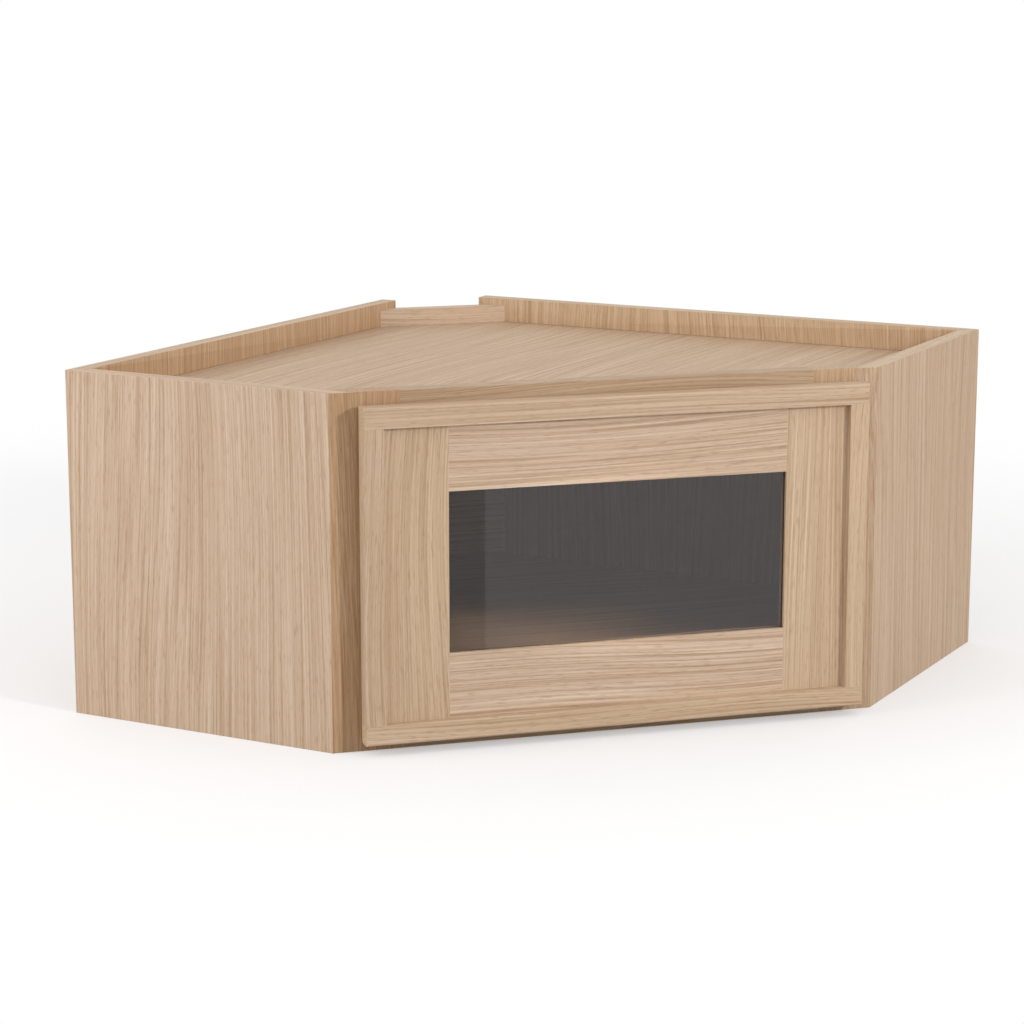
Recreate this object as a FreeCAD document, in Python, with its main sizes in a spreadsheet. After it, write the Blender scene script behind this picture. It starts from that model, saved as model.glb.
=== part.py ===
import FreeCAD, Part
import os
import Sketcher

# Diagonal corner wall cabinet. Up is +Z and the door faces -Y.
# The origin is under the middle of the cabinet, at floor level.
doc = FreeCAD.newDocument("CornerWallCabinet")
sizes = doc.addObject("Spreadsheet::Sheet", "Sizes")
driving_sizes = (
    # Carcass: plywood panels around a plan with one diagonal front.
    ("wall_run", "609.6"),
    ("side_depth", "265"),
    ("cabinet_height", "304.8"),
    ("panel_thickness", "15.875"),
    ("back_end", "78"),
    ("back_rabbet", "6.35"),
    ("panel_dado", "6.35"),
    ("strip_reach", "108.4"),
    ("strip_drop", "7"),
    ("strip_rise", "7"),
    ("deck_drop", "23.5"),
    # Face frame on the diagonal.
    ("frame_thickness", "19.05"),
    ("stile_width", "38.1"),
    ("rail_width", "38.1"),
    ("dowel_radius", "4"),
    ("dowel_length", "40"),
    ("dowel_clearance", "0.1"),
    ("dowel_end_room", "0.8"),
    # Door: a raised border around a flat frame with a glass light.
    ("reveal_left", "24"),
    ("reveal_right", "17"),
    ("reveal_top", "10.7"),
    ("reveal_bottom", "9.5"),
    ("door_gap", "2.5"),
    ("door_thickness", "19.05"),
    ("border_width", "17.4"),
    ("recess_depth", "6.35"),
    ("inner_width", "56"),
    ("tongue_thickness", "6"),
    ("tongue_reach", "5"),
    ("edge_round_back", "3"),
    ("edge_round_front", "2"),
    ("glass_lip", "3.2"),
    ("glass_rabbet", "8"),
    ("glass_thickness", "4"),
    ("glass_clearance", "0.5"),
    # Concealed hinges: cups in the door, arms on the left stile.
    ("hinge_inset", "70"),
    ("cup_radius", "17.5"),
    ("cup_depth", "10.5"),
    ("cup_edge", "3"),
    ("cup_clearance", "0.1"),
    ("cup_wall", "1"),
    ("cup_floor", "0.8"),
    ("slot_width", "11"),
    ("ear_thickness", "1.2"),
    ("ear_width", "14"),
    ("ear_spacing", "45"),
    ("pivot_edge", "7.5"),
    ("pivot_depth", "7"),
    ("pin_radius", "1.25"),
    ("pin_length", "17"),
    ("pin_clearance", "0.05"),
    ("eye_radius", "2.2"),
    ("arm_width", "10"),
    ("arm_thickness", "1.6"),
    ("arm_reach", "18.5"),
    ("neck_run", "6"),
    ("plate_height", "44"),
    ("plate_depth", "16"),
    ("plate_screw_spacing", "30"),
    ("screw_radius", "1.6"),
    ("screw_head_radius", "3.1"),
    ("arm_screw_length", "16"),
    ("cup_screw_length", "10.5"),
    # Soft stops on the back of the door.
    ("bumper_radius", "4"),
    ("bumper_clearance", "0.3"),
    ("bumper_inset", "25"),
    ("bumper_edge", "20"),
)
for row, (alias, number) in enumerate(driving_sizes, start=1):
    sizes.set(f"A{row}", alias)
    sizes.set(f"B{row}", number)
    sizes.setAlias(f"B{row}", alias)
doc.recompute()


# Lengths that follow from the driving sizes, as expressions.
# The diagonal front lies across the two side panels' front corners.
front_width = "((Sizes.wall_run - Sizes.side_depth) * sqrt(2))"
front_reach = "((Sizes.wall_run + Sizes.side_depth) / sqrt(2))"
corner_y = f"((Sizes.back_end / sqrt(2) + {front_reach} + Sizes.door_gap + Sizes.door_thickness) / 2)"
front_y = f"({corner_y} - {front_reach})"
frame_back_y = f"({front_y} + Sizes.frame_thickness)"
front_left_x = f"(-{front_width} / 2)"
front_right_x = f"({front_width} / 2)"

# A side panel cut at 45 degrees shows this much of its edge on the front.
edge_show = "(Sizes.panel_thickness * sqrt(2))"
opening_left_x = f"({front_left_x} + {edge_show} + Sizes.stile_width)"
opening_right_x = f"({front_right_x} - {edge_show} - Sizes.stile_width)"
opening_width = f"({opening_right_x} - {opening_left_x})"

# Door box and the flat frame inside its border.
door_left_x = f"({front_left_x} + Sizes.reveal_left)"
door_right_x = f"({front_right_x} - Sizes.reveal_right)"
door_width = f"({door_right_x} - {door_left_x})"
door_top_z = "(Sizes.cabinet_height - Sizes.reveal_top)"
door_height = f"({door_top_z} - Sizes.reveal_bottom)"
door_back_y = f"({front_y} - Sizes.door_gap)"
door_front_y = f"({door_back_y} - Sizes.door_thickness)"
inner_thickness = "(Sizes.door_thickness - Sizes.recess_depth)"
inner_front_y = f"({door_back_y} - {inner_thickness})"
inner_left_x = f"({door_left_x} + Sizes.border_width)"
inner_right_x = f"({door_right_x} - Sizes.border_width)"
inner_bottom_z = "(Sizes.reveal_bottom + Sizes.border_width)"
inner_top_z = f"({door_top_z} - Sizes.border_width)"
inner_height = f"({inner_top_z} - {inner_bottom_z})"
tongue_y = f"({door_back_y} - ({inner_thickness} + Sizes.tongue_thickness) / 2)"

# Daylight of the glass and the rabbet that holds it from behind.
light_left_x = f"({inner_left_x} + Sizes.inner_width)"
light_right_x = f"({inner_right_x} - Sizes.inner_width)"
light_bottom_z = f"({inner_bottom_z} + Sizes.inner_width)"
light_top_z = f"({inner_top_z} - Sizes.inner_width)"
light_width = f"({light_right_x} - {light_left_x})"
light_height = f"({light_top_z} - {light_bottom_z})"
lip_y = f"({inner_front_y} + Sizes.glass_lip)"
rabbet_depth = f"({inner_thickness} - Sizes.glass_lip)"
bead_y = f"({lip_y} + Sizes.glass_thickness)"
bead_thickness = f"({rabbet_depth} - Sizes.glass_thickness)"

# The hinges' common pivot line and their cups.
pivot_x = f"({door_left_x} + Sizes.pivot_edge)"
pivot_y = f"({door_back_y} - Sizes.pivot_depth)"
cup_x = f"({door_left_x} + Sizes.cup_edge + Sizes.cup_radius)"
lower_hinge_z = "(Sizes.reveal_bottom + Sizes.hinge_inset)"
upper_hinge_z = f"({door_top_z} - Sizes.hinge_inset)"

AXIS_X = FreeCAD.Vector(1, 0, 0)
AXIS_Y = FreeCAD.Vector(0, 1, 0)
AXIS_Z = FreeCAD.Vector(0, 0, 1)
QUARTER = 90
along_right = FreeCAD.Rotation(AXIS_Y, QUARTER)
along_left = FreeCAD.Rotation(AXIS_Y, -QUARTER)
along_front = FreeCAD.Rotation(AXIS_X, QUARTER)
upright = FreeCAD.Rotation()
# Turns plan axes that lie along the two walls so that their corner points back.
wall_turn = FreeCAD.Rotation(AXIS_Z, 2 * QUARTER + QUARTER / 2)


def value(text):
    return float(sizes.evalExpression(text))


def bind(target, **expressions):
    for path, text in expressions.items():
        target.setExpression(path, text)


def place(target, x, y, z, rotation=upright):
    target.Placement = FreeCAD.Placement(FreeCAD.Vector(), rotation)
    target.setExpression("Placement.Base.x", x)
    target.setExpression("Placement.Base.y", y)
    target.setExpression("Placement.Base.z", z)


def block(name, x, y, z, length, width, height):
    box = doc.addObject("Part::Box", name)
    bind(box, Length=length, Width=width, Height=height)
    place(box, x, y, z)
    return box


def rod(name, x, y, z, rotation, radius, height):
    cylinder = doc.addObject("Part::Cylinder", name)
    bind(cylinder, Radius=radius, Height=height)
    place(cylinder, x, y, z, rotation)
    return cylinder


def fuse(name, shapes):
    fused = doc.addObject("Part::MultiFuse", name)
    fused.Shapes = shapes
    return fused


def cut(name, base, tool):
    remainder = doc.addObject("Part::Cut", name)
    remainder.Base = base
    remainder.Tool = tool
    return remainder


def common(name, base, tool):
    shared = doc.addObject("Part::Common", name)
    shared.Base = base
    shared.Tool = tool
    return shared


def group(name, shapes):
    compound = doc.addObject("Part::Compound", name)
    compound.Links = shapes
    return compound


def new_body(name, x, y, z, rotation=upright):
    body = doc.addObject("PartDesign::Body", name)
    place(body, x, y, z, rotation)
    return body


def new_sketch(body, name, level):
    sketch = body.newObject("Sketcher::SketchObject", name)
    plan = [feature for feature in body.Origin.OriginFeatures if feature.Role == "XY_Plane"]
    sketch.AttachmentSupport = [(plan[0], "")]
    sketch.MapMode = "FlatFace"
    sketch.setExpression("AttachmentOffset.Base.z", level)
    return sketch


def hold(sketch, kind, edge, point, text, axis):
    if text == "0":
        sketch.addConstraint(Sketcher.Constraint("PointOnObject", edge, point, axis))
        return
    index = sketch.addConstraint(Sketcher.Constraint(kind, -1, 1, edge, point, value(text)))
    sketch.setExpression(f"Constraints[{index}]", text)


def outline(body, name, level, corners):
    sketch = new_sketch(body, name, level)
    points = [FreeCAD.Vector(value(x), value(y), 0) for x, y in corners]
    following = points[1:] + points[:1]
    for start, end in zip(points, following):
        sketch.addGeometry(Part.LineSegment(start, end), False)
    count = len(points)
    for edge in range(count):
        sketch.addConstraint(Sketcher.Constraint("Coincident", edge, 2, (edge + 1) % count, 1))
    for edge, (x, y) in enumerate(corners):
        hold(sketch, "DistanceX", edge, 1, x, -2)
        hold(sketch, "DistanceY", edge, 1, y, -1)
    return sketch


def ring(body, name, level, radius):
    sketch = new_sketch(body, name, level)
    sketch.addGeometry(Part.Circle(FreeCAD.Vector(), AXIS_Z, value(radius)), False)
    sketch.addConstraint(Sketcher.Constraint("Coincident", 0, 3, -1, 1))
    index = sketch.addConstraint(Sketcher.Constraint("Radius", 0, value(radius)))
    sketch.setExpression(f"Constraints[{index}]", radius)
    return sketch


def pad(body, sketch, height):
    feature = body.newObject("PartDesign::Pad", sketch.Name + "_pad")
    feature.Profile = sketch
    feature.setExpression("Length", height)
    return feature


def level_edges(shape, y):
    names = []
    for number, edge in enumerate(shape.Edges, start=1):
        if all(abs(vertex.Y - y) < shape.BoundBox.YLength / 1000 for vertex in edge.Vertexes):
            names.append(f"Edge{number}")
    return names


def swapped(corners):
    return [(y, x) for x, y in corners]


nodes = []


def finish(node, label):
    node.Label = label
    nodes.append(node)
    return node


# Decks. Both lie in dadoes of the sides and backs and butt against the corner
# strip behind and the face frame in front.
strip_inside = "(Sizes.strip_reach + Sizes.panel_thickness)"
strip_outside = f"({strip_inside} - {edge_show})"
dado_near = "(Sizes.panel_thickness - Sizes.panel_dado)"
dado_far = "(Sizes.wall_run - Sizes.panel_thickness + Sizes.panel_dado)"
frame_back_sum = "(Sizes.wall_run + Sizes.side_depth - Sizes.frame_thickness * sqrt(2))"
deck_plan = [
    (f"({strip_inside} - {dado_near})", dado_near),
    (dado_far, dado_near),
    (dado_far, f"({frame_back_sum} - {dado_far})"),
    (f"({frame_back_sum} - {dado_far})", dado_far),
    (dado_near, dado_far),
    (dado_near, f"({strip_inside} - {dado_near})"),
]
deck_levels = (
    ("top_deck", "(Sizes.cabinet_height - Sizes.deck_drop - Sizes.panel_thickness)"),
    ("bottom_panel", "(Sizes.rail_width - Sizes.panel_thickness)"),
)
decks = []
for label, level in deck_levels:
    body = new_body(label, "0", corner_y, "0", wall_turn)
    pad(body, outline(body, label + "_plan", level, deck_plan), "Sizes.panel_thickness")
    decks.append(finish(body, label))
both_decks = fuse("both_decks", decks)

# Sides. The front edge is cut at 45 degrees and the back edge is rabbeted
# on the inside for the back panel.
side_inside = "(Sizes.wall_run - Sizes.panel_thickness)"
side_plan = [
    (f"({side_inside} + Sizes.back_rabbet)", "0"),
    ("Sizes.wall_run", "0"),
    ("Sizes.wall_run", "Sizes.side_depth"),
    (side_inside, "(Sizes.side_depth + Sizes.panel_thickness)"),
    (side_inside, "Sizes.panel_thickness"),
    (f"({side_inside} + Sizes.back_rabbet)", "Sizes.panel_thickness"),
]
# Backs. Each runs along a wall from the side's rabbet and stops short of the corner.
back_plan = [
    ("Sizes.back_end", "0"),
    (f"({side_inside} + Sizes.back_rabbet)", "0"),
    (f"({side_inside} + Sizes.back_rabbet)", "Sizes.panel_thickness"),
    ("Sizes.back_end", "Sizes.panel_thickness"),
]
panel_plans = (
    ("left_side", side_plan),
    ("right_side", swapped(side_plan)),
    ("left_back", back_plan),
    ("right_back", swapped(back_plan)),
)
for label, plan in panel_plans:
    body = new_body(label + "_blank", "0", corner_y, "0", wall_turn)
    pad(body, outline(body, label + "_plan", "0", plan), "Sizes.cabinet_height")
    finish(cut(label, body, both_decks), label)

# Corner strip. It closes the back corner at 45 degrees, with its bevelled ends
# flat against the two backs.
strip_plan = [
    ("Sizes.strip_reach", "Sizes.panel_thickness"),
    ("Sizes.panel_thickness", "Sizes.strip_reach"),
    ("Sizes.panel_thickness", f"({strip_outside} - Sizes.panel_thickness)"),
    (f"({strip_outside} - Sizes.panel_thickness)", "Sizes.panel_thickness"),
]
strip = new_body("corner_back", "0", corner_y, "0", wall_turn)
strip_height = "(Sizes.cabinet_height - Sizes.strip_drop - Sizes.strip_rise)"
pad(strip, outline(strip, "corner_back_plan", "Sizes.strip_rise", strip_plan), strip_height)
finish(strip, "corner_back")

# Face frame dowels, one in each joint between a rail and a stile.
top_rail_z = "(Sizes.cabinet_height - Sizes.rail_width)"
dowel_y = f"({front_y} + Sizes.frame_thickness / 2)"
dowels = []
dowel_bores = []
bore_length = "(Sizes.dowel_length + 2 * Sizes.dowel_end_room)"
for end, joint_x in (("left", opening_left_x), ("right", opening_right_x)):
    for level, rail_z in (("top", top_rail_z), ("bottom", "0")):
        dowel_z = f"({rail_z} + Sizes.rail_width / 2)"
        dowel_x = f"({joint_x} - Sizes.dowel_length / 2)"
        name = f"dowel_{level}_{end}"
        dowels.append(rod(name, dowel_x, dowel_y, dowel_z, along_right, "Sizes.dowel_radius", "Sizes.dowel_length"))
        bore_x = f"({joint_x} - {bore_length} / 2)"
        bore_radius = "(Sizes.dowel_radius + Sizes.dowel_clearance)"
        dowel_bores.append(rod(name + "_bore", bore_x, dowel_y, dowel_z, along_right, bore_radius, bore_length))
frame_bores = fuse("frame_bores", dowel_bores)
finish(group("frame_dowels", dowels), "frame_dowels")

# Hinge arm screws go through the base plates into the left stile's inner edge.
arm_screws = []
plate_y = f"({front_y} + Sizes.plate_depth / 2)"
plate_x = f"({opening_left_x} + Sizes.arm_thickness)"
cup_screws = []
ear_y = f"({door_back_y} + Sizes.ear_thickness)"


def screw(name, x, y, z, rotation, head_depth, length):
    head = doc.addObject("Part::Cone", name + "_head")
    bind(head, Radius1="Sizes.screw_head_radius", Radius2="Sizes.screw_radius", Height=head_depth)
    place(head, x, y, z, rotation)
    shank = rod(name + "_shank", x, y, z, rotation, "Sizes.screw_radius", length)
    return fuse(name, [head, shank])


hinge_levels = (("upper", upper_hinge_z), ("lower", lower_hinge_z))
for level, hinge_z in hinge_levels:
    for side, sign in (("over", "+"), ("under", "-")):
        plate_screw_z = f"({hinge_z} {sign} Sizes.plate_screw_spacing / 2)"
        name = f"{level}_arm_screw_{side}"
        arm_screws.append(
            screw(name, plate_x, plate_y, plate_screw_z, along_left, "Sizes.arm_thickness", "Sizes.arm_screw_length")
        )
        ear_screw_z = f"({hinge_z} {sign} Sizes.ear_spacing / 2)"
        name = f"{level}_cup_screw_{side}"
        cup_screws.append(
            screw(name, cup_x, ear_y, ear_screw_z, along_front, "Sizes.ear_thickness", "Sizes.cup_screw_length")
        )
all_arm_screws = finish(group("hinge_arm_screws", arm_screws), "hinge_arm_screws")
all_cup_screws = finish(group("hinge_cup_screws", cup_screws), "hinge_cup_screws")
arm_screw_bores = fuse("arm_screw_bores", arm_screws)
cup_screw_bores = fuse("cup_screw_bores", cup_screws)

# Stiles. Their outer edges are bevelled to lie along the side panels.
left_stile_plan = [
    (f"({front_left_x} + {edge_show})", front_y),
    (opening_left_x, front_y),
    (opening_left_x, frame_back_y),
    (f"({front_left_x} + {edge_show} - Sizes.frame_thickness)", frame_back_y),
]
right_stile_plan = [(f"(-{x})", y) for x, y in left_stile_plan]
left_stile = new_body("left_stile_blank", "0", "0", "0")
pad(left_stile, outline(left_stile, "left_stile_plan", "0", left_stile_plan), "Sizes.cabinet_height")
left_stile_bores = fuse("left_stile_bores", [frame_bores, arm_screw_bores])
finish(cut("left_stile", left_stile, left_stile_bores), "left_stile")
right_stile = new_body("right_stile_blank", "0", "0", "0")
pad(right_stile, outline(right_stile, "right_stile_plan", "0", right_stile_plan), "Sizes.cabinet_height")
finish(cut("right_stile", right_stile, frame_bores), "right_stile")

# Rails between the stiles.
for label, rail_z in (("top_rail", top_rail_z), ("bottom_rail", "0")):
    rail = block(
        label + "_blank", opening_left_x, front_y, rail_z, opening_width, "Sizes.frame_thickness", "Sizes.rail_width"
    )
    finish(cut(label, rail, frame_bores), label)

# Hinge arms. A strap runs from the pivot eye inside the cup, steps down through the
# gap behind the door and wraps onto the stile's inner edge as a base plate.
seat_y = "(Sizes.door_gap + Sizes.pivot_depth)"
wrap_x = f"({opening_left_x} - {pivot_x})"
half_strap = "(Sizes.arm_thickness / 2)"
neck_drop = f"({seat_y} - {half_strap})"
neck_end = "(Sizes.arm_reach + Sizes.neck_run)"
bend_shift = f"(Sizes.arm_thickness * tan(atan({neck_drop} / Sizes.neck_run) / 2))"
plate_end_y = f"({seat_y} + Sizes.plate_depth)"
strap_plan = [
    ("0", f"(-{half_strap})"),
    ("Sizes.arm_reach", f"(-{half_strap})"),
    (neck_end, f"({seat_y} - Sizes.arm_thickness)"),
    (f"({wrap_x} + Sizes.arm_thickness)", f"({seat_y} - Sizes.arm_thickness)"),
    (f"({wrap_x} + Sizes.arm_thickness)", plate_end_y),
    (wrap_x, plate_end_y),
    (wrap_x, seat_y),
    (f"({neck_end} - {bend_shift})", seat_y),
    (f"(Sizes.arm_reach - {bend_shift})", half_strap),
    ("0", half_strap),
]
base_plate_plan = [
    (wrap_x, seat_y),
    (f"({wrap_x} + Sizes.arm_thickness)", seat_y),
    (f"({wrap_x} + Sizes.arm_thickness)", plate_end_y),
    (wrap_x, plate_end_y),
]
for level, hinge_z in hinge_levels:
    arm = new_body(f"{level}_arm_blank", pivot_x, pivot_y, hinge_z)
    arm_level = "(-Sizes.arm_width / 2)"
    plate_level = "(-Sizes.plate_height / 2)"
    pad(arm, outline(arm, f"{level}_strap", arm_level, strap_plan), "Sizes.arm_width")
    pad(arm, ring(arm, f"{level}_eye", arm_level, "Sizes.eye_radius"), "Sizes.arm_width")
    pad(arm, outline(arm, f"{level}_plate", plate_level, base_plate_plan), "Sizes.plate_height")
    doc.recompute()
    solid_volume = arm.Shape.Volume
    bore = arm.newObject("PartDesign::Pocket", f"{level}_eye_bore")
    bore.Profile = ring(arm, f"{level}_eye_hole", arm_level, "(Sizes.pin_radius + Sizes.pin_clearance)")
    bore.setExpression("Length", "Sizes.arm_width")
    bore.Reversed = True
    doc.recompute()
    if arm.Shape.Volume >= solid_volume:
        raise RuntimeError("the hinge eye has no bore")
    finish(cut(f"{level}_hinge_arm", arm, arm_screw_bores), f"{level}_hinge_arm")

# Door slab with eased outer edges, shared out to the border pieces below.
slab = new_body("door_slab", "0", "0", "0")
slab_plan = [
    (door_left_x, door_front_y),
    (door_right_x, door_front_y),
    (door_right_x, door_back_y),
    (door_left_x, door_back_y),
]
slab_pad = pad(slab, outline(slab, "door_slab_plan", "Sizes.reveal_bottom", slab_plan), door_height)
doc.recompute()
eased_front = slab.newObject("PartDesign::Fillet", "eased_front")
eased_front.Base = (slab_pad, level_edges(slab_pad.Shape, value(door_front_y)))
eased_front.setExpression("Radius", "Sizes.edge_round_front")
doc.recompute()
eased_back = slab.newObject("PartDesign::Fillet", "eased_back")
eased_back.Base = (eased_front, level_edges(eased_front.Shape, value(door_back_y)))
eased_back.setExpression("Radius", "Sizes.edge_round_back")
doc.recompute()

# Cup bores in the back of the door.
cup_bores = []
for level, hinge_z in hinge_levels:
    bore_radius = "(Sizes.cup_radius + Sizes.cup_clearance)"
    bore_depth = "(Sizes.cup_depth + Sizes.cup_clearance)"
    cup_bores.append(rod(f"{level}_cup_bore", cup_x, door_back_y, hinge_z, along_front, bore_radius, bore_depth))

# Flat frame inside the border. Its tongues enter grooves in the border, and the
# rails' tongues enter the stiles. All four are rabbeted behind for the glass.
stile_x = {"left": inner_left_x, "right": light_right_x}
tongue_x = {"left": f"({inner_left_x} - Sizes.tongue_reach)", "right": light_right_x}
stile_blanks = {}
for end in ("left", "right"):
    core = block(
        f"{end}_core", stile_x[end], inner_front_y, inner_bottom_z, "Sizes.inner_width", inner_thickness, inner_height
    )
    tongue = block(
        f"{end}_tongue",
        tongue_x[end],
        tongue_y,
        f"({inner_bottom_z} - Sizes.tongue_reach)",
        "(Sizes.inner_width + Sizes.tongue_reach)",
        "Sizes.tongue_thickness",
        f"({inner_height} + 2 * Sizes.tongue_reach)",
    )
    stile_blanks[end] = fuse(f"{end}_door_stile_blank", [core, tongue])
rail_z = {"top": light_top_z, "bottom": inner_bottom_z}
tongue_z = {"top": light_top_z, "bottom": f"({inner_bottom_z} - Sizes.tongue_reach)"}
rail_blanks = {}
for level in ("top", "bottom"):
    core = block(
        f"{level}_core", light_left_x, inner_front_y, rail_z[level], light_width, inner_thickness, "Sizes.inner_width"
    )
    tongue = block(
        f"{level}_tongue",
        f"({light_left_x} - Sizes.tongue_reach)",
        tongue_y,
        tongue_z[level],
        f"({light_width} + 2 * Sizes.tongue_reach)",
        "Sizes.tongue_thickness",
        "(Sizes.inner_width + Sizes.tongue_reach)",
    )
    rail_blanks[level] = fuse(f"{level}_door_rail_blank", [core, tongue])
glass_seat = block(
    "glass_seat",
    f"({light_left_x} - Sizes.glass_rabbet)",
    lip_y,
    f"({light_bottom_z} - Sizes.glass_rabbet)",
    f"({light_width} + 2 * Sizes.glass_rabbet)",
    rabbet_depth,
    f"({light_height} + 2 * Sizes.glass_rabbet)",
)
rail_pair = [rail_blanks["top"], rail_blanks["bottom"]]
left_tools = fuse("left_stile_tools", rail_pair + [glass_seat, cup_screw_bores] + cup_bores)
right_tools = fuse("right_stile_tools", rail_pair + [glass_seat])
finish(cut("door_stile_left", stile_blanks["left"], left_tools), "door_stile_left")
finish(cut("door_stile_right", stile_blanks["right"], right_tools), "door_stile_right")
for level in ("top", "bottom"):
    finish(cut(f"door_rail_{level}", rail_blanks[level], glass_seat), f"door_rail_{level}")

# Raised border. The top and bottom pieces run the full width, and the side
# pieces stand between them.
inner_blank = fuse("inner_frame_blank", list(stile_blanks.values()) + rail_pair)
left_border_tools = fuse("left_border_tools", [inner_blank, cup_screw_bores] + cup_bores)
border_right_x = inner_right_x
borders = (
    ("door_border_top", door_left_x, inner_top_z, door_width, "Sizes.border_width", inner_blank),
    ("door_border_bottom", door_left_x, "Sizes.reveal_bottom", door_width, "Sizes.border_width", inner_blank),
    ("door_border_left", door_left_x, inner_bottom_z, "Sizes.border_width", inner_height, left_border_tools),
    ("door_border_right", border_right_x, inner_bottom_z, "Sizes.border_width", inner_height, inner_blank),
)
for label, x, z, length, height, tools in borders:
    zone = block(label + "_zone", x, door_front_y, z, length, "Sizes.door_thickness", height)
    finish(cut(label, common(label + "_blank", slab, zone), tools), label)

# Glass and the beads that hold it from behind.
pane_room = "(Sizes.glass_rabbet - Sizes.glass_clearance)"
pane = block(
    "door_glass",
    f"({light_left_x} - {pane_room})",
    lip_y,
    f"({light_bottom_z} - {pane_room})",
    f"({light_width} + 2 * {pane_room})",
    "Sizes.glass_thickness",
    f"({light_height} + 2 * {pane_room})",
)
finish(pane, "door_glass")
bead_left_x = f"({light_left_x} - Sizes.glass_rabbet)"
bead_length = f"({light_width} + 2 * Sizes.glass_rabbet)"
bead_bottom_z = f"({light_bottom_z} - Sizes.glass_rabbet)"
beads = (
    ("glass_bead_top", bead_left_x, light_top_z, bead_length, "Sizes.glass_rabbet"),
    ("glass_bead_bottom", bead_left_x, bead_bottom_z, bead_length, "Sizes.glass_rabbet"),
    ("glass_bead_left", bead_left_x, light_bottom_z, "Sizes.glass_rabbet", light_height),
    ("glass_bead_right", light_right_x, light_bottom_z, "Sizes.glass_rabbet", light_height),
)
for label, x, z, length, height in beads:
    finish(block(label, x, bead_y, z, length, bead_thickness, height), label)

# Hinge cups with screw ears, and the pins that the arms turn on.
for level, hinge_z in hinge_levels:
    shell = rod(f"{level}_cup_shell", cup_x, door_back_y, hinge_z, along_front, "Sizes.cup_radius", "Sizes.cup_depth")
    ear_left_x = f"({cup_x} - Sizes.ear_width / 2)"
    ear_bottom_z = f"({hinge_z} - Sizes.ear_spacing / 2)"
    ear_top_z = f"({hinge_z} + Sizes.ear_spacing / 2)"
    ear_radius = "(Sizes.ear_width / 2)"
    flange = block(
        f"{level}_flange", ear_left_x, door_back_y, ear_bottom_z, "Sizes.ear_width", "Sizes.ear_thickness",
        "Sizes.ear_spacing",
    )
    ears = [
        rod(f"{level}_ear_over", cup_x, ear_y, ear_top_z, along_front, ear_radius, "Sizes.ear_thickness"),
        rod(f"{level}_ear_under", cup_x, ear_y, ear_bottom_z, along_front, ear_radius, "Sizes.ear_thickness"),
    ]
    cup_blank = fuse(f"{level}_cup_blank", [shell, flange] + ears)
    hollow_radius = "(Sizes.cup_radius - Sizes.cup_wall)"
    hollow_depth = "(Sizes.cup_depth - Sizes.cup_floor + Sizes.ear_thickness)"
    hollow = rod(f"{level}_hollow", cup_x, ear_y, hinge_z, along_front, hollow_radius, hollow_depth)
    slot = block(
        f"{level}_slot",
        f"({cup_x} - Sizes.cup_radius)",
        f"({ear_y} - {hollow_depth})",
        f"({hinge_z} - Sizes.slot_width / 2)",
        "(2 * Sizes.cup_radius)",
        hollow_depth,
        "Sizes.slot_width",
    )
    cavity = common(f"{level}_cavity", hollow, slot)
    pin_z = f"({hinge_z} - Sizes.pin_length / 2)"
    pin = rod(f"{level}_hinge_pin", pivot_x, pivot_y, pin_z, upright, "Sizes.pin_radius", "Sizes.pin_length")
    finish(pin, f"{level}_hinge_pin")
    pin_bore_radius = "(Sizes.pin_radius + Sizes.pin_clearance)"
    pin_bore = rod(f"{level}_pin_bore", pivot_x, pivot_y, pin_z, upright, pin_bore_radius, "Sizes.pin_length")
    cup_tools = fuse(f"{level}_cup_tools", [cavity, pin_bore, cup_screw_bores])
    finish(cut(f"{level}_hinge_cup", cup_blank, cup_tools), f"{level}_hinge_cup")

# Soft bumpers on the free edge of the door.
bumpers = []
bumper_x = f"({door_right_x} - Sizes.bumper_edge)"
bumper_height = "(Sizes.door_gap - Sizes.bumper_clearance)"
bumper_y = f"({front_y} - Sizes.bumper_clearance)"
for level, bumper_z in (
    ("top", f"({door_top_z} - Sizes.bumper_inset)"),
    ("bottom", "(Sizes.reveal_bottom + Sizes.bumper_inset)"),
):
    bumpers.append(
        rod(f"{level}_bumper", bumper_x, bumper_y, bumper_z, along_front, "Sizes.bumper_radius", bumper_height)
    )
finish(group("door_bumpers", bumpers), "door_bumpers")

doc.recompute()
for item in doc.Objects:
    if "Invalid" in item.State or "Error" in item.State:
        raise RuntimeError(f"{item.Label} did not recompute: {item.State}")
for node in nodes:
    if node.Shape.isNull() or not node.Shape.isValid():
        raise RuntimeError(f"{node.Label} has no valid shape")
os.makedirs("parts", exist_ok=True)
for node in nodes:
    node.Shape.exportStep(f"parts/{node.Label}.step")
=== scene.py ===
import bpy
import math
from mathutils import Matrix, Vector


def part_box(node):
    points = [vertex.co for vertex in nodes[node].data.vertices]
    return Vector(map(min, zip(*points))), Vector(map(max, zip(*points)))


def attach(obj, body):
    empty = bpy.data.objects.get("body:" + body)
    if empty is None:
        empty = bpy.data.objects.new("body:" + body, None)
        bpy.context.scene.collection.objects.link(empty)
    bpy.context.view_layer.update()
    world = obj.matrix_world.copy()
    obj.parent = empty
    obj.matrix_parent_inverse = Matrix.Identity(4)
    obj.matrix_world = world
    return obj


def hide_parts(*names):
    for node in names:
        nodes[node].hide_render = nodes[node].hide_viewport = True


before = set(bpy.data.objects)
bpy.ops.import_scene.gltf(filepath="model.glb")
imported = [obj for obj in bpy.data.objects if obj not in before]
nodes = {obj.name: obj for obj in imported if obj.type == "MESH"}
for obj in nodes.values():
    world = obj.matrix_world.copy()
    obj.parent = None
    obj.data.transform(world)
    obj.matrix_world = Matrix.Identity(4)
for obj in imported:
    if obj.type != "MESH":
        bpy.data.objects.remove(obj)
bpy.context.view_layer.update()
bpy.ops.object.select_all(action="DESELECT")

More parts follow.
